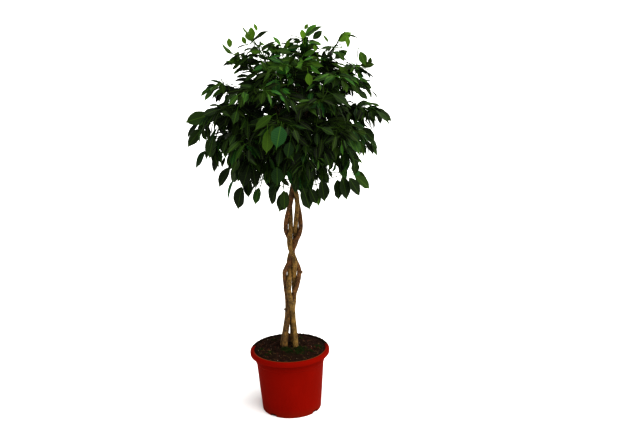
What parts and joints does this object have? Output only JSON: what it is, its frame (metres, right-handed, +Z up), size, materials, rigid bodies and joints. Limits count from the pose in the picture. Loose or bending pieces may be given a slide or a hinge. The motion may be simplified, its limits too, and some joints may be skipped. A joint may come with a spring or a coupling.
{
  "type": "potted weeping fig",
  "caption": "Standard weeping fig: young stems plaited into an open trunk, a round head of drooping pointed leaves, and a red nursery pot filled with potting soil.",
  "frame": {"origin": "middle of the pot's flat underside", "axes": "+Z up along the pot and the trunk, -Y to the front, +X to the viewer's right"},
  "size_m": [0.5855, 0.5389, 1.1526],
  "materials": {
    "red_polypropylene": "satin",
    "potting_mix": "matte",
    "young_fig_bark": "matte",
    "fig_leaf": "satin"
  },
  "bodies": {
    "root": {"nursery_pot": "red_polypropylene", "potting_soil": "potting_mix", "stem_a": "young_fig_bark", "stem_b": "young_fig_bark", "stem_c": "young_fig_bark", "stem_d": "young_fig_bark", "leaf_spray_01": "fig_leaf", "leaf_spray_02": "fig_leaf", "leaf_spray_03": "fig_leaf", "leaf_spray_04": "fig_leaf", "leaf_spray_05": "fig_leaf", "leaf_spray_06": "fig_leaf", "leaf_spray_07": "fig_leaf", "leaf_spray_08": "fig_leaf", "leaf_spray_09": "fig_leaf", "leaf_spray_10": "fig_leaf", "leaf_spray_11": "fig_leaf", "leaf_spray_12": "fig_leaf", "leaf_spray_13": "fig_leaf", "leaf_spray_14": "fig_leaf", "leaf_spray_15": "fig_leaf", "leaf_spray_16": "fig_leaf", "leaf_spray_17": "fig_leaf", "leaf_spray_18": "fig_leaf", "leaf_spray_19": "fig_leaf", "leaf_spray_20": "fig_leaf", "leaf_spray_21": "fig_leaf", "leaf_spray_22": "fig_leaf", "leaf_spray_23": "fig_leaf", "leaf_spray_24": "fig_leaf", "leaf_spray_25": "fig_leaf", "leaf_spray_26": "fig_leaf", "leaf_spray_27": "fig_leaf", "leaf_spray_28": "fig_leaf", "leaf_spray_29": "fig_leaf", "leaf_spray_30": "fig_leaf", "leaf_spray_31": "fig_leaf", "leaf_spray_32": "fig_leaf", "leaf_spray_33": "fig_leaf", "leaf_spray_34": "fig_leaf", "leaf_spray_35": "fig_leaf", "leaf_spray_36": "fig_leaf", "leaf_spray_37": "fig_leaf", "leaf_spray_38": "fig_leaf"}
  },
  "joints": []
}
